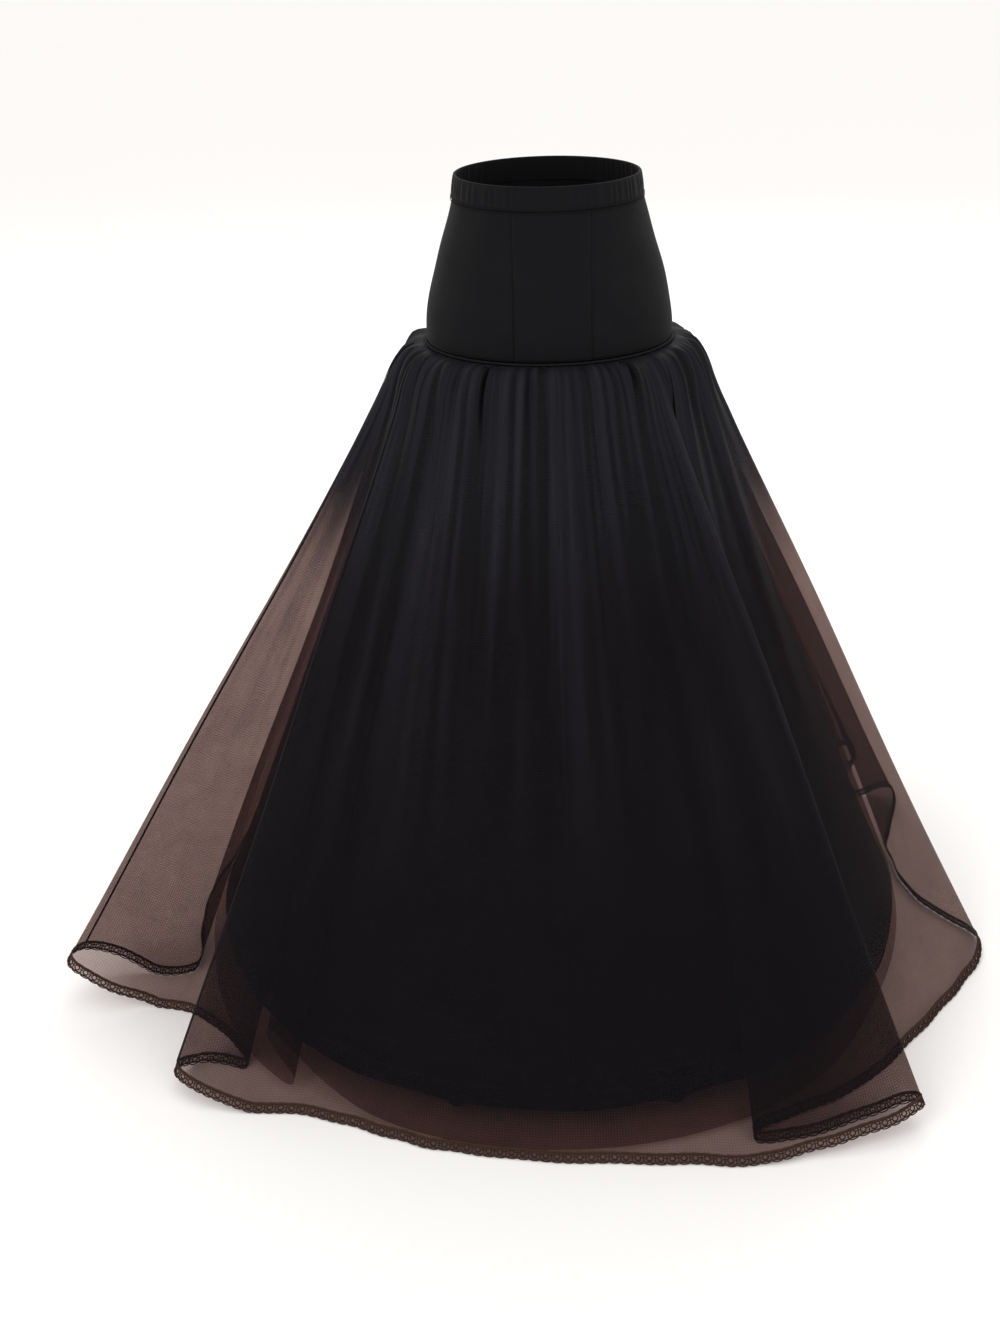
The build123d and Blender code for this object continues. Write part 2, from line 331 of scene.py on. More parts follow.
def lining_shell():
    """The lining as rows of points: a gathered cone down to the hoop, then a short hanging hem."""
    angles = np.linspace(-math.pi, math.pi, LINING_COLUMNS + 1)
    seam, shoulder = seam_ring(angles, LINING_SEAM, SEAM_Z), seam_ring(angles, LINING_SHOULDER, SHOULDER_Z)
    ring = np.stack((np.cos(angles), np.sin(angles), np.zeros(LINING_COLUMNS + 1)), -1) * HOOP_RADIUS
    cone, down = hung_sheet(seam, shoulder, ring + np.array((0, 0, HOOP_Z)), 56, 0.0)
    out = gathers(angles + 1.7, down, 0.0008, 0.0022, 0.0040) - 0.0052
    out *= np.clip((1 - down) / 0.15, 0, 1)[:, None] ** 0.7
    rows = [cone + level_normals(cone) * out[..., None]]
    degrees = np.degrees(angles)
    tips = sum(np.exp(-((degrees - place) / 1.3) ** 2) for place in (-107.5, -74.5))
    sway = np.sin(23 * angles + 1.5 * np.sin(5 * angles)) - 1
    droop = 0.007 * tips - 0.001 * np.sin(9 * angles)
    for step in range(1, HEM_ROWS + 1):
        share = step / HEM_ROWS
        ridge = 0.0016 * math.sin(math.pi * min(share / 0.7, 1)) ** 0.5
        stand = ridge - 0.0016 + 0.0010 * max(share - 0.7, 0) / 0.3 * sway
        row = ring * (1 + stand / HOOP_RADIUS)[:, None]
        row[:, 2] = HOOP_Z + (LINING_HEM_Z - HOOP_Z) * share - share ** 3 * droop
        rows.append(row[None])
    return np.concatenate(rows), angles


def curve_through(levels, values, z):
    """A smooth value at each height, from values at a few levels."""
    return np.polyval(np.polyfit(levels, values, 3), z)


def yoke_panel(angle_from, angle_to, columns):
    """One panel of the yoke as rows of points, its two long edges rolled in to the seams."""
    z = np.linspace(YOKE_LEVELS[0], YOKE_LEVELS[-1], 44)[:, None]
    half_x = curve_through(YOKE_LEVELS, YOKE_HALF_X, z)
    half_y = curve_through(YOKE_LEVELS, YOKE_HALF_Y, z)
    share = np.linspace(0, 1, columns)[None, :]
    start, end = angle_from(half_x), angle_to(half_x)
    angles = start + (end - start) * share
    edge = np.minimum(share, 1 - share) * (end - start) * half_x
    depth = np.clip((YOKE_LEVELS[0] - z) / (YOKE_LEVELS[0] - YOKE_LEVELS[-1]), 0, 1)
    roll = (0.0008 + 0.0010 * depth) * np.exp(-(edge / 0.0022) ** 2)
    ease = 0.0006 * np.sin(5 * angles + 40 * z) * np.sin(60 * z + 1)
    shrink = roll - ease + 0.0008
    x, y = (half_x - shrink) * np.cos(angles), (half_y - shrink) * np.sin(angles)
    return np.stack((x, y, np.broadcast_to(z, x.shape)), -1)


def casing_profile():
    """The section of the waist casing: up the inside, over the top and down the outside."""
    points = [(FOLD_MIDDLE - FOLD_HALF, -CASING_FOOT * (1 - step / 8) - FOLD_DROP) for step in range(9)]
    for step in range(1, 8):
        turn = math.pi * step / 8
        points.append((FOLD_MIDDLE - FOLD_HALF * math.cos(turn), FOLD_HALF * math.sin(turn) - FOLD_DROP))
    for step in range(9):
        points.append((FOLD_MIDDLE + FOLD_HALF, -FOLD_DROP - (CASING_FOOT - FOLD_DROP) * step / 8))
    return points


def waist_casing():
    """The casing drawn up by its elastic, as rows of points from the inner foot to the outer one."""
    angles = np.linspace(-math.pi, math.pi, 721)
    pucker = 0.5 + 0.5 * np.sin(64 * angles + 1.7 * np.sin(9 * angles) + 1.1 * np.sin(23 * angles + 1))
    rows = []
    for out, z in casing_profile():
        flare = CASING_FLARE * -z / CASING_FOOT
        middle = math.sin(math.pi * min(max(-z / CASING_FOOT, 0), 1)) ** 0.5
        puff = (out - FOLD_MIDDLE) / FOLD_HALF * 0.0009 * middle * pucker
        half_x, half_y = WAIST_X + flare + out + puff, WAIST_Y + flare + out + puff
        rows.append(np.stack((half_x * np.cos(angles), half_y * np.sin(angles), np.full_like(angles, z)), -1))
    return np.stack(rows)


# ---------------------------------------------------------------- meshes

def new_piece(name, points, faces, material, spots=None):
    """A smooth-shaded piece from points and faces, with its UV map in metres."""
    mesh = bpy.data.meshes.new(name)
    mesh.from_pydata([tuple(point) for point in points], [], [tuple(face) for face in faces])
    if spots is not None:
        layer = mesh.uv_layers.new(name="UVMap")
        corners = np.empty(len(mesh.loops), np.int32)
        mesh.loops.foreach_get("vertex_index", corners)
        layer.data.foreach_set("uv", np.asarray(spots, np.float32)[corners].ravel())
    mesh.polygons.foreach_set("use_smooth", np.ones(len(mesh.polygons), bool))
    mesh.update()
    piece = bpy.data.objects.new(name, mesh)
    bpy.context.scene.collection.objects.link(piece)
    mesh.materials.append(material)
    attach(piece, "root")
    return piece


def grid_faces(rows, columns, round_columns=False, round_rows=False):
    """Quads of a grid of points that has its rows from the top down and goes round anticlockwise."""
    index = np.arange(rows * columns).reshape(rows, columns)
    if round_columns:
        index = np.concatenate((index, index[:, :1]), 1)
    if round_rows:
        index = np.concatenate((index, index[:1]), 0)
    corners = (index[:-1, :-1], index[1:, :-1], index[1:, 1:], index[:-1, 1:])
    return np.stack(corners, -1).reshape(-1, 4)


def cloth_piece(name, grid, across, down, material):
    """A sheet from rows of points, with distances across and down the cloth as its UV map."""
    rows, columns = grid.shape[:2]
    u = np.broadcast_to(across, (rows, columns))
    v = np.broadcast_to(np.asarray(down).reshape(rows, -1), (rows, columns))
    spots = np.stack((u, -v), -1).reshape(-1, 2)
    return new_piece(name, grid.reshape(-1, 3), grid_faces(rows, columns), material, spots)


def ring_piece(name, grid, material):
    """A sheet that closes on itself: the last column of its grid repeats the first."""
    rows, columns = grid.shape[:2]
    across = travel(grid[-1])
    ring = grid[:, :-1]
    down = travel(grid[:, 0])
    u = np.broadcast_to(across[:-1], (rows, columns - 1))
    spots = np.stack((u, -np.broadcast_to(down[:, None], u.shape)), -1).reshape(-1, 2)
    return new_piece(name, ring.reshape(-1, 3), grid_faces(rows, columns - 1, True), material, spots)


def give_thickness(piece, thickness):
    """Turns a sheet into a closed thin solid that grows inwards from its outer face."""
    bpy.ops.object.select_all(action="DESELECT")
    bpy.context.view_layer.objects.active = piece
    piece.select_set(True)
    wall = piece.modifiers.new("wall", "SOLIDIFY")
    wall.thickness = thickness
    wall.offset = -1
    bpy.ops.object.modifier_apply(modifier=wall.name)


def tube_parts(path, radius, sides, normal, closed=False, squash=1.0):
    """Points and faces of a thin tube along a path. Its section starts along each point's normal."""
    ahead, behind = np.roll(path, -1, 0), np.roll(path, 1, 0)
    if not closed:
        ahead[-1], behind[0] = path[-1], path[0]
    along = ahead - behind
    along /= np.maximum(np.linalg.norm(along, axis=1, keepdims=True), 1e-9)
    side = np.cross(along, normal)
    side /= np.maximum(np.linalg.norm(side, axis=1, keepdims=True), 1e-9)
    up = np.cross(side, along)
    rings = []
    for step in range(sides):
        turn = TURN * step / sides
        rings.append(path + radius * (squash * math.cos(turn) * up + math.sin(turn) * side))
    return np.stack(rings, 1).reshape(-1, 3), grid_faces(len(path), sides, True, closed)


def joined_piece(name, parts, material):
    """One piece from several lots of points and faces."""
    points, faces, count = [], [], 0
    for some_points, some_faces in parts:
        points.append(some_points)
        faces.extend((np.asarray(some_faces) + count).tolist())
        count += len(some_points)
    return new_piece(name, np.concatenate(points), faces, material)


def strip_parts(path, normal, across, width, thickness):
    """Points and faces of a flat closed tape along a path, lying on the cloth."""
    corners = ((-0.5, 0.0), (0.5, 0.0), (0.5, 1.0), (-0.5, 1.0))
    rings = [path + across * (width * a) + normal * (thickness * b) for a, b in corners]
    last = len(path) * 4 - 1
    ends = [[0, 1, 2, 3], [last, last - 1, last - 2, last - 3]]
    return np.stack(rings, 1).reshape(-1, 3), grid_faces(len(path), 4, True).tolist() + ends


def joined_parts(parts):
    """Several lots of points and faces as one."""
    points, faces, count = [], [], 0
    for some_points, some_faces in parts:
        points.append(some_points)
        faces.append(some_faces + count)
        count += len(some_points)
    return np.concatenate(points), np.concatenate(faces)


def rows_at(spots, length, rows):
    """Points between the rows of an array whose places along a path are given."""
    return np.stack([np.interp(spots, length, rows[:, axis]) for axis in range(3)], -1)


def stitch_parts(path, normal, stitch, gap, radius):
    """A row of short stitches along a path, each one raised in its middle."""
    length = travel(path)
    starts = np.arange(0, length[-1] - stitch, stitch + gap)
    lanes = []
    for part, high in ((0.0, 0.0), (0.5, 1.0), (1.0, 0.0)):
        spots = starts + stitch * part
        lanes.append(rows_at(spots, length, path) + rows_at(spots, length, normal) * radius * (0.4 + high))
    parts = []
    for index, start in enumerate(starts):
        out = np.repeat(normal[[int(np.searchsorted(length, start))]], 3, 0)
        parts.append(tube_parts(np.stack([lane[index] for lane in lanes]), radius, 4, out))
    return joined_parts(parts)


# ---------------------------------------------------------------- lace

EYELET_X, EYELET_Y, EYELET_DOWN = 0.0031, 0.0029, 0.0062
SCALLOP_DOWN = 0.0103
CORDS = ((0.0009, 0.0011), (0.0027, 0.0007), (SCALLOP_DOWN, 0.0010))   # how far down, and radius


def lace_motif():
    """One repeat of the lace in its own plane: points (along, down, out), as a few tubes."""
    half = LACE_PITCH / 2
    ring, scallop = [], []
    for step in range(10):
        turn = TURN * step / 10
        ring.append((EYELET_X * math.cos(turn), EYELET_DOWN + EYELET_Y * math.sin(turn), 0.0))
    for step in range(7):
        turn = math.pi * step / 6
        scallop.append((-half * math.cos(turn), SCALLOP_DOWN + 0.0024 * math.sin(turn), 0.0))
    bar = ((-half, 0.0012, 0.0), (-0.0056, 0.006, 0.0003), (-half, SCALLOP_DOWN, 0.0))
    tubes = [(ring, 0.0009, True), (scallop, 0.0008, False), (bar, 0.0008, False)]
    for side in (-1, 1):
        inner, outer = (side * EYELET_X, EYELET_DOWN, 0.0), (side * half, EYELET_DOWN, 0.0)
        tubes.append(((inner, (side * 0.0045, 0.0052, 0.0004), outer), 0.0007, False))
    return joined_parts([
        tube_parts(np.array(path), radius, 3, np.tile((0.0, 0.0, 1.0), (len(path), 1)), closed)
        for path, radius, closed in tubes
    ])


def bend_on(strip, flat):
    """Puts flat points (along, down, out) onto a strip of cloth given by its top edge and hem."""
    length = strip[3]
    top, low, out = (rows_at(flat[:, 0], length, rows) for rows in strip[:3])
    share = flat[:, 1:2] / LACE_WIDTH
    return top * (1 - share) + low * share + out * flat[:, 2:3]


def lace_piece(name, strip, material):
    """A run of corded lace along a stretch of the hem."""
    length = strip[3]
    motif, faces = lace_motif()
    repeats = int((length[-1] - length[0]) / LACE_PITCH)
    starts = length[0] + (np.arange(repeats) + 0.5) * (length[-1] - length[0]) / repeats
    flat = np.tile(motif, (repeats, 1))
    flat[:, 0] += np.repeat(starts, len(motif))
    shifts = np.repeat(np.arange(repeats) * len(motif), len(faces))[:, None]
    parts = [(bend_on(strip, flat), np.tile(faces, (repeats, 1)) + shifts)]
    run = np.arange(length[0], length[-1], 0.004)
    wobble = 0.00025 * np.sin(run * TURN / LACE_PITCH)
    for down, radius in CORDS:
        cord = np.stack((run, down + wobble, np.full_like(run, 0.0003)), -1)
        path = bend_on(strip, cord)
        parts.append(tube_parts(path, radius, 5, bend_on(strip, cord + np.array((0, 0, 1.0))) - path))
    return joined_piece(name, parts, material)


# ---------------------------------------------------------------- materials

def linear(text):
    """An sRGB hex colour as linear red, green, blue and one."""
    values = [int(text[place:place + 2], 16) / 255 for place in (0, 2, 4)]
    return tuple(v / 12.92 if v <= 0.04045 else ((v + 0.055) / 1.055) ** 2.4 for v in values) + (1.0,)


def add_node(tree, kind, values=None, **settings):
    """Adds a node, sets its properties, and sets or links its inputs."""
    new = tree.nodes.new(kind)
    for key, value in settings.items():
        setattr(new, key, value)
    for key, value in (values or {}).items():
        if isinstance(value, bpy.types.NodeSocket):
            tree.links.new(value, new.inputs[key])
        else:
            new.inputs[key].default_value = value
    return new


def new_material(name):
    """An empty node material, its tree and its output node."""
    material = bpy.data.materials.new(name)
    material.use_nodes = True
    tree = material.node_tree
    tree.nodes.clear()
    return material, tree, add_node(tree, "ShaderNodeOutputMaterial")


def cloth_ramp(tree, factor, dark, light):
    """The colour between two hex colours at a factor from 0 to 1."""
    ramp = add_node(tree, "ShaderNodeValToRGB", {"Fac": factor})
    ramp.color_ramp.elements[0].color = linear(dark)
    ramp.color_ramp.elements[1].color = linear(light)
    return ramp.outputs["Color"]


def woven_cloth(name, dark, light, pitch_u, pitch_v, roughness, sheen, bump, coords="UV"):
    """Opaque cloth: two crossing sets of threads with uneven dye, as a bump and a slight tone."""
    material, tree, output = new_material(name)
    where = add_node(tree, "ShaderNodeTexCoord").outputs[coords]
    threads = [
        add_node(
            tree, "ShaderNodeTexWave",
            {"Vector": where, "Scale": 1 / pitch / TURN * 2, "Distortion": 0.6, "Detail": 1.0},
            wave_type="BANDS", bands_direction=direction,
        ).outputs["Fac"]
        for pitch, direction in ((pitch_u, "X"), (pitch_v, "Y"))
    ]
    weave = add_node(tree, "ShaderNodeMath", {0: threads[0], 1: threads[1]}, operation="MAXIMUM").outputs[0]
    blotch = add_node(
        tree, "ShaderNodeTexNoise", {"Vector": where, "Scale": 22.0, "Detail": 4.0, "Roughness": 0.6}
    ).outputs["Fac"]
    mixed = add_node(tree, "ShaderNodeMath", {0: weave, 1: blotch}, operation="MULTIPLY").outputs[0]
    relief = add_node(tree, "ShaderNodeBump", {"Strength": bump, "Distance": 0.0004, "Height": weave})
    tone = add_node(
        tree, "ShaderNodeMapRange",
        {"Value": blotch, "From Min": 0.3, "From Max": 0.7, "To Min": roughness - 0.05,
         "To Max": roughness + 0.07},
    )
    shader = add_node(
        tree, "ShaderNodeBsdfPrincipled",
        {"Base Color": cloth_ramp(tree, mixed, dark, light), "Roughness": tone.outputs[0],
         "Normal": relief.outputs[0], "Sheen Weight": sheen, "Sheen Roughness": 0.4, "Specular IOR Level": 0.14},
    )
    tree.links.new(shader.outputs[0], output.inputs[0])
    return material


def sheer_net(name, pitch, cover_thread, cover_hole, passed, thread, painted_highlight_colour):
    """Sheer net: six-sided meshes whose threads stop most light and whose holes pass some of it.
    Towards the gathers its layers bunch together and stop more light. Along the same bands the threads are painted
    lighter, a painted highlight that runs down the cloth."""
    material, tree, output = new_material(name)
    where = add_node(tree, "ShaderNodeTexCoord").outputs["UV"]
    height = add_node(tree, "ShaderNodeSeparateXYZ", {"Vector": where}).outputs["Y"]
    meshes = add_node(
        tree, "ShaderNodeTexVoronoi", {"Vector": where, "Scale": 1 / pitch, "Randomness": 0.25},
        feature="DISTANCE_TO_EDGE", voronoi_dimensions="2D",
    )
    cover = add_node(
        tree, "ShaderNodeMapRange",
        {"Value": meshes.outputs["Distance"], "From Min": 0.05, "From Max": 0.32, "To Min": cover_thread,
         "To Max": cover_hole},
    )
    blotch = add_node(
        tree, "ShaderNodeTexNoise", {"Vector": where, "Scale": 16.0, "Detail": 6.0, "Roughness": 0.75}
    )
    uneven = add_node(
        tree, "ShaderNodeMapRange",
        {"Value": blotch.outputs["Fac"], "From Min": 0.3, "From Max": 0.7, "To Min": -0.05, "To Max": 0.05},
    )
    # Bands drawn out down the cloth and fading lower down. Where they run, the net's cover rises and its threads
    # take a painted highlight.
    drawn = add_node(tree, "ShaderNodeVectorMath", {0: where, 1: (34.0, 1.6, 1.0)}, operation="MULTIPLY")
    folds = add_node(
        tree, "ShaderNodeTexNoise", {"Vector": drawn.outputs[0], "Scale": 1.0, "Detail": 3.0, "Roughness": 0.6}
    )
    fade = add_node(tree, "ShaderNodeMapRange", {"Value": height, "From Min": -0.6, "From Max": -0.02})
    ridge = add_node(
        tree, "ShaderNodeMapRange", {"Value": folds.outputs["Fac"], "From Min": 0.42, "From Max": 0.68}
    )
    gather_density_and_painted_highlight = add_node(
        tree, "ShaderNodeMath", {0: ridge.outputs[0], 1: fade.outputs[0]}, operation="MULTIPLY"
    ).outputs[0]
    drawn_up = add_node(
        tree, "ShaderNodeMapRange", {"Value": height, "From Min": -0.30, "From Max": -0.05, "To Max": 0.42},
        interpolation_type="SMOOTHSTEP",
    )
    level = add_node(tree, "ShaderNodeMath", {0: cover.outputs[0], 1: drawn_up.outputs[0]}, operation="ADD")
    lively = add_node(tree, "ShaderNodeMath", {0: level.outputs[0], 1: uneven.outputs[0]}, operation="ADD")
    factor = add_node(
        tree, "ShaderNodeMath", {0: gather_density_and_painted_highlight, 1: 0.16, 2: lively.outputs[0]}, operation="MULTIPLY_ADD", use_clamp=True
    )
    holes = add_node(tree, "ShaderNodeBsdfTransparent", {"Color": linear(passed)})
    threads = add_node(
        # The threads' colour turns lighter along those bands: painted highlight, not dye.
        tree, "ShaderNodeBsdfPrincipled",
        {"Base Color": cloth_ramp(tree, gather_density_and_painted_highlight, thread, painted_highlight_colour), "Roughness": 0.65, "Specular IOR Level": 0.06},
    )
    mixed = add_node(
        tree, "ShaderNodeMixShader", {0: factor.outputs[0], 1: holes.outputs[0], 2: threads.outputs[0]}
    )
    tree.links.new(mixed.outputs[0], output.inputs[0])
    return material


def cord_cloth(name, colour, pale, roughness, scale):
    """Twisted thread or cord: a fine uneven ply over a dark dye."""
    material, tree, output = new_material(name)
    where = add_node(tree, "ShaderNodeTexCoord").outputs["Object"]
    ply = add_node(tree, "ShaderNodeTexNoise", {"Vector": where, "Scale": scale, "Detail": 3.0, "Roughness": 0.6})
    relief = add_node(tree, "ShaderNodeBump", {"Strength": 0.4, "Distance": 0.0003, "Height": ply.outputs["Fac"]})
    shader = add_node(
        tree, "ShaderNodeBsdfPrincipled",
        {"Base Color": cloth_ramp(tree, ply.outputs["Fac"], colour, pale), "Roughness": roughness,
         "Normal": relief.outputs[0], "Specular IOR Level": 0.12},
    )
    tree.links.new(shader.outputs[0], output.inputs[0])
    return material


def plain_metal(name, dark, light, roughness, metallic, scale):
    """Rolled or drawn metal, or its plastic cover, with slight marks from handling."""
    material, tree, output = new_material(name)
    where = add_node(tree, "ShaderNodeTexCoord").outputs["Object"]
    marks = add_node(tree, "ShaderNodeTexNoise", {"Vector": where, "Scale": scale, "Detail": 4.0})
    rough = add_node(
        tree, "ShaderNodeMapRange",
        {"Value": marks.outputs["Fac"], "To Min": roughness, "To Max": roughness + 0.15},
    )
    shader = add_node(
        tree, "ShaderNodeBsdfPrincipled",
        {"Base Color": cloth_ramp(tree, marks.outputs["Fac"], dark, light), "Roughness": rough.outputs[0],
         "Metallic": metallic},
    )
    tree.links.new(shader.outputs[0], output.inputs[0])
    return material


# Cotton and elastane jersey: matt, with fine knitted wales. They are 0.7 mm apart, drawn at 2.4 mm.
JERSEY = woven_cloth("Cotton-elastane jersey", "060608", "0E0E12", 0.0024, 0.0032, 0.85, 0.03, 0.35)
# Polyester taffeta: a close plain weave with a faint gloss. Its threads are 0.3 mm, drawn at 2.5 mm.
TAFFETA = woven_cloth("Polyester taffeta", "09090C", "17171D", 0.0025, 0.0025, 0.58, 0.0, 0.18)
# Cotton twill tape: matt and ribbed, 1 mm ribs drawn at 2 mm.
TWILL = woven_cloth("Cotton twill tape", "0A0A0D", "19191E", 0.0020, 0.0040, 0.8, 0.1, 0.4, "Object")
# Woven elastic: rubber cores under polyester, ribbed lengthways.
ELASTIC = woven_cloth("Polyester elastic webbing", "121214", "2A2A2E", 0.0030, 0.0018, 0.7, 0.0, 0.5, "Object")
# Nylon tulle: holes of about 1 mm, drawn at 3 mm. It passes warm light a little better than cool. In this net and
# the two below, the last colour is a painted highlight laid along the gathers.
TULLE = sheer_net("Nylon tulle", 0.0030, 0.65, 0.51, "F8E2DC", "0F0E12", "212026")
# The inner net is the same nylon in a lighter weight.
TULLE_FINE = sheer_net("Nylon tulle, light", 0.0030, 0.52, 0.38, "F8E2DC", "0F0E12", "28272E")
# The same tulle, doubled where two panels are sewn together.
TULLE_DOUBLED = sheer_net("Nylon tulle, doubled", 0.0030, 0.84, 0.72, "F8E2DC", "0C0B0E", "1C1B20")
# Cotton cord lace: thick soft cords, dyed brown-black.
LACE_CORD = cord_cloth("Cotton cord lace", "20150F", "4A342C", 0.85, 900.0)
# Polyester sewing thread: a tight twist with a dull shine.
THREAD = cord_cloth("Polyester sewing thread", "080709", "151316", 0.7, 1500.0)
# Spring steel strip under a white PVC cover: smooth, a little glossy.
COVERED_STEEL = plain_metal("PVC-covered spring steel", "D9D8D2", "E9E8E3", 0.35, 0.0, 60.0)
# Zinc-plated steel sleeve, crimped: grey and slightly dull.
ZINC = plain_metal("Zinc-plated steel", "8C9094", "B4B8BC", 0.35, 1.0, 200.0)


# ---------------------------------------------------------------- pieces

def make_outer():
    """The outer net in two halves, its lace on a ground of the same net, and its sewn seams."""
    grid, down, along, marks = outer_skirt()
    lace_share = 1 - LACE_WIDTH / SHEET_LENGTH
    edge = int(np.searchsorted(down, lace_share))
    share = (lace_share - down[edge - 1]) / (down[edge] - down[edge - 1])
    upper = grid[:edge + 1].copy()
    upper[edge] = grid[edge - 1] * (1 - share) + grid[edge] * share
    heights = np.append(down[:edge], lace_share) * SHEET_LENGTH
    top, low = upper[-1], grid[-1]
    out = np.cross(low - top, np.gradient(top, axis=0))
    out /= np.maximum(np.linalg.norm(out, axis=1, keepdims=True), 1e-9)
    right = marks[SIDE_SEAM_RIGHT]
    sides = (
        ("front", slice(0, right + 1), ("left", "front", "right"), (2.31, 0.83), 1.2),
        ("back", slice(right, len(along)), ("back_right", "back", "back_left"), (2.1, 0.83), 1.1),
    )
    for side, span, panels, flat, area in sides:
        width = along[span]
        net = cloth_piece(f"outer_net_{side}", upper[:, span], width, heights, TULLE)
        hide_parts(*[f"net_outer_{panel}" for panel in panels])
        rows = np.stack([top[span] * (1 - s) + low[span] * s for s in (0.0, 0.45, 0.86)])
        ground = cloth_piece(f"lace_ground_{side}", rows, width, (0.815, 0.821, 0.826), TULLE)
        strip = (top[span], low[span], out[span], width)
        lace = lace_piece(f"lace_cords_{side}", strip, LACE_CORD)
        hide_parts(*[f"lace_{panel}" for panel in panels])
    normals = level_normals(upper)
    parts = []
    for point in SEWN_SEAMS:
        column = marks[point]
        path, normal = upper[3:, column], normals[3:, column]
        beside = upper[3:, (column + 3) % OUTER_COLUMNS] - path
        beside /= np.maximum(np.linalg.norm(beside, axis=1, keepdims=True), 1e-9)
        parts.append(strip_parts(path + normal * 0.0003, normal, beside, 0.005, 0.0006))
    joined_piece("outer_net_seams", parts, TULLE_DOUBLED)


def make_inner():
    """The inner net in two halves, with its plain hem."""
    grid, down, along, angles = inner_skirt()
    middle = int(np.argmin(abs(angles)))
    for side, span in (("front", slice(0, middle + 1)), ("back", slice(middle, None))):
        net = cloth_piece(f"inner_net_{side}", grid[:, span], along[span], down * 0.77, TULLE_FINE)
        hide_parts(f"net_inner_{side}")


def make_lining():
    """The lining in two halves, its gore seams, and the stitching of the hoop's tape and the hem."""
    grid, angles = lining_shell()
    middle = (len(angles) - 1) // 2
    along = angles * HOOP_RADIUS
    down = travel(grid[:, 0])
    gores = {"front": (5, 6, 7, 8), "back": (1, 2, 3, 4)}
    for side, span in (("front", slice(0, middle + 1)), ("back", slice(middle, None))):
        cloth = cloth_piece(f"lining_{side}", grid[:, span], along[span], down, TAFFETA)
        give_thickness(cloth, 0.0006)
        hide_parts(*[f"lining_gore_{number}" for number in gores[side]])
    normals = level_normals(grid)
    seams = []
    for gore in range(8):
        column = gore * (len(angles) - 1) // 8
        path, normal = grid[1:, column], normals[1:, column]
        beside = np.stack((-normal[:, 1], normal[:, 0], normal[:, 2]), -1)
        seams.append(strip_parts(path, normal, beside, 0.003, 0.0006))
    joined_piece("lining_gore_seams", seams, TAFFETA)
    rows = []
    for step in (1, 8, 11):
        row = len(grid) - 1 - HEM_ROWS + step
        rows.append(stitch_parts(grid[row], normals[row], 0.0042, 0.0014, 0.00045))
    joined_piece("hoop_and_hem_stitches", rows, THREAD)


def make_yoke():
    """The four panels of the yoke, the waist casing and its two rows of stitches."""
    def left_of_centre(half_x):
        return -np.arccos(-PRINCESS_X / half_x)

    def right_of_centre(half_x):
        return -np.arccos(PRINCESS_X / half_x)

    def at(angle):
        return lambda half_x: np.full_like(half_x, angle)

    panels = {
        "yoke_front_left": (at(-math.pi), left_of_centre, 60, (0.155, 0.15)),
        "yoke_front_centre": (left_of_centre, right_of_centre, 50, (0.08, 0.15)),
        "yoke_front_right": (right_of_centre, at(0.0), 60, (0.155, 0.15)),
        "yoke_back": (at(0.0), at(math.pi), 150, (0.37, 0.15)),
    }
    for name, (start, end, columns, flat) in panels.items():
        grid = yoke_panel(start, end, columns)
        piece = cloth_piece(f"{name}_panel", grid, travel(grid[-1]), travel(grid[:, 0]), JERSEY)
        give_thickness(piece, 0.0009)
        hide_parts(name)
    casing = ring_piece("waist_casing_fold", waist_casing(), JERSEY)
    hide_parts("waist_casing")
    angles = np.linspace(-math.pi, math.pi, 721)[:-1]
    normal = np.stack((np.cos(angles), np.sin(angles), np.zeros_like(angles)), -1)
    lines = []
    for z, grow in ((-CASING_FOOT + 0.0015, 0.0004), (-CASING_FOOT - 0.0015, 0.0002)):
        outside = FOLD_MIDDLE + FOLD_HALF + CASING_FLARE * -z / CASING_FOOT + grow
        half_x, half_y = WAIST_X + outside, WAIST_Y + outside
        path = np.stack((half_x * np.cos(angles), half_y * np.sin(angles), np.full_like(angles, z)), -1)
        lines.append(stitch_parts(path, normal, 0.003, 0.0012, 0.0004))
    joined_piece("waist_stitches", lines, THREAD)


def make_gathering_seam():
    """The overlocked edge of all the layers under the yoke: a soft cord wrapped in thread."""
    angles = np.linspace(0, TURN, 901)[:-1]
    normal = np.stack((np.cos(angles), np.sin(angles), np.zeros_like(angles)), -1)
    path = seam_ring(angles, 0.0004, -0.1742) + normal * (0.0004 * np.sin(angles * 230))[:, None]
    parts = [tube_parts(path, 0.0015, 8, normal, closed=True, squash=1.3)]
    ridge = joined_piece("gathering_seam", parts, THREAD)
    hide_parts("yoke_seam")


def dress_solids():
    """The pieces that the solids already shape only take their finish."""
    for node, material in (
        ("hoop", COVERED_STEEL), ("hoop_joiner", ZINC), ("hoop_casing", TWILL), ("waist_elastic", ELASTIC)
    ):
        mesh = bpy.data.objects[node].data
        mesh.materials.clear()
        mesh.materials.append(material)


# ---------------------------------------------------------------- studio

def floor_material():
    """Pale matt paper, very slightly uneven."""
    material, tree, output = new_material("Pale matt floor")
    where = add_node(tree, "ShaderNodeTexCoord").outputs["Object"]
    blotch = add_node(tree, "ShaderNodeTexNoise", {"Vector": where, "Scale": 0.7, "Detail": 2.0})
    shader = add_node(
        tree, "ShaderNodeBsdfPrincipled",
        {"Base Color": cloth_ramp(tree, blotch.outputs["Fac"], "F6F5F4", "F8F7F6"), "Roughness": 0.9,
         "Specular IOR Level": 0.1},
    )
    tree.links.new(shader.outputs[0], output.inputs[0])
    return material


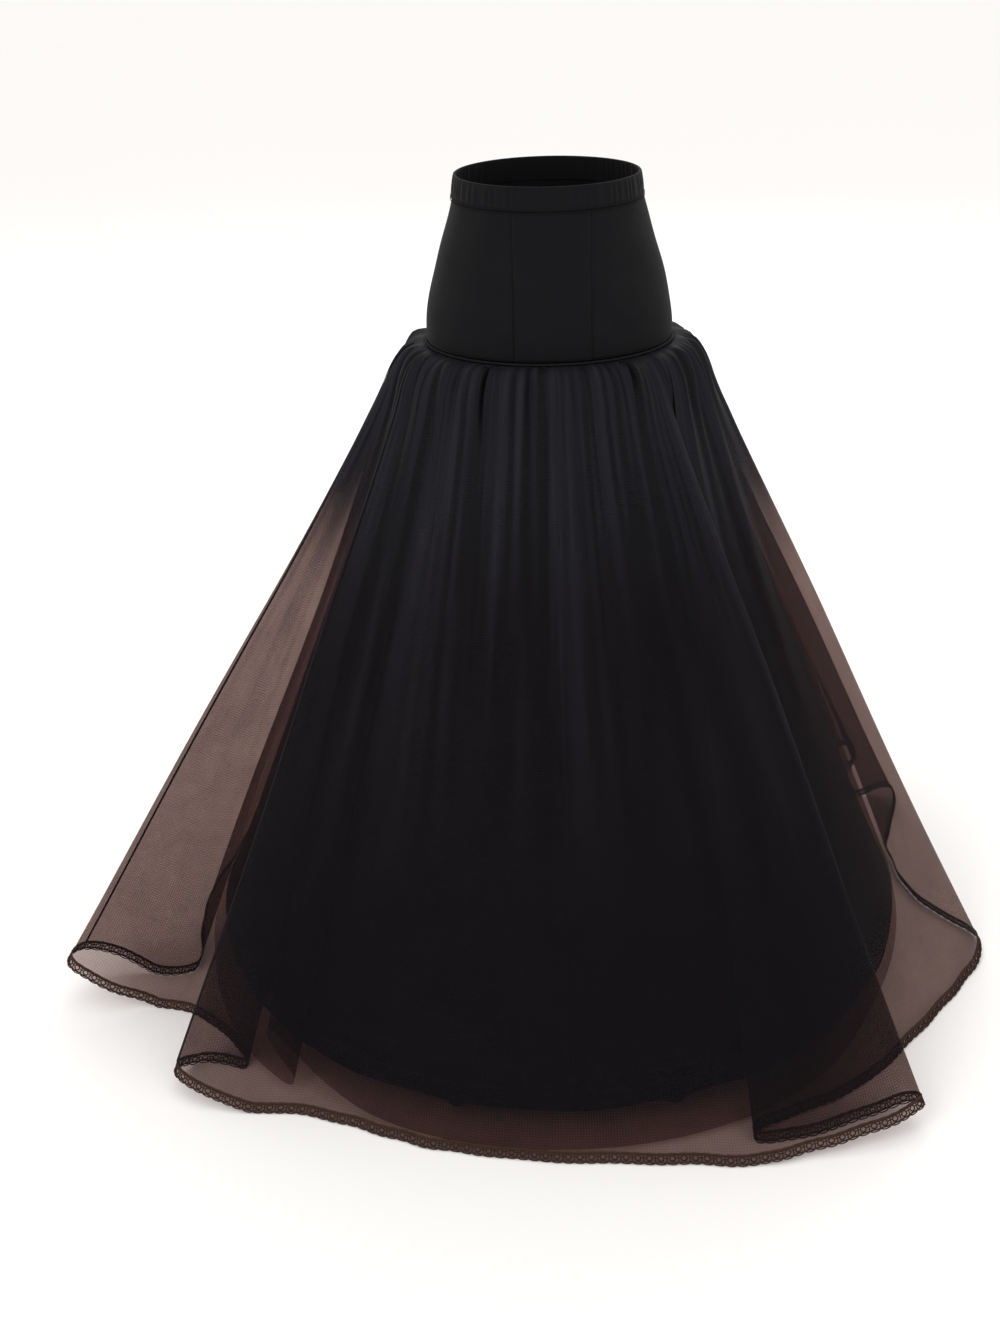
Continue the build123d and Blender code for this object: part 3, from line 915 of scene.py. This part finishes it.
def area_light(name, place, target, size, power):
    """A round soft light that faces its target."""
    data = bpy.data.lights.new(name, "AREA")
    data.shape = "DISK"
    data.size = size
    data.energy = power
    lamp = bpy.data.objects.new(name, data)
    lamp.location = place
    lamp.rotation_euler = (Vector(target) - Vector(place)).to_track_quat("-Z", "Y").to_euler()
    bpy.context.scene.collection.objects.link(lamp)


def make_studio():
    """The floor under the hem, a white room and three soft lights."""
    bpy.ops.mesh.primitive_plane_add(size=80, location=(0, 0, 0))
    floor = bpy.context.object
    floor.name = "studio_floor"
    for vertex in floor.data.vertices:
        vertex.co.z = cad_box[0][2]
    floor.data.materials.append(floor_material())
    world = bpy.data.worlds.new("Soft white studio")
    bpy.context.scene.world = world
    world.use_nodes = True
    background = world.node_tree.nodes["Background"]
    background.inputs["Color"].default_value = (1.0, 0.985, 0.97, 1.0)
    background.inputs["Strength"].default_value = 1.05
    middle = (0, 0, -0.5)
    area_light("key", (-2.2, -2.6, 2.2), middle, 2.0, 40)
    area_light("fill", (2.6, -2.0, 1.4), middle, 2.4, 14)
    area_light("back", (0.4, 2.8, 1.8), middle, 2.4, 30)


def make_camera():
    """The camera stands a little above the waist and looks down, with a slight roll."""
    data = bpy.data.cameras.new("camera")
    data.sensor_fit = "AUTO"
    data.sensor_width = 36
    data.lens = 44.6
    data.clip_end = 200
    camera = bpy.data.objects.new("camera", data)
    tilt, roll = math.radians(26.28), math.radians(-1.70)
    right = Vector((1, 0, 0))
    up = Vector((0, math.sin(tilt), math.cos(tilt)))
    ahead = Vector((0, math.cos(tilt), -math.sin(tilt)))
    camera_right = right * math.cos(roll) + up * math.sin(roll)
    camera_up = up * math.cos(roll) - right * math.sin(roll)
    turn = Matrix((camera_right, camera_up, -ahead)).transposed()
    camera.rotation_euler = turn.to_euler()
    camera.location = (-0.0643, -1.7736, 0.3002)
    bpy.context.scene.collection.objects.link(camera)
    bpy.context.scene.camera = camera


make_outer()
make_inner()
make_lining()
make_yoke()
make_gathering_seam()
dress_solids()
make_studio()
make_camera()
bpy.context.scene.view_settings.view_transform = "Standard"
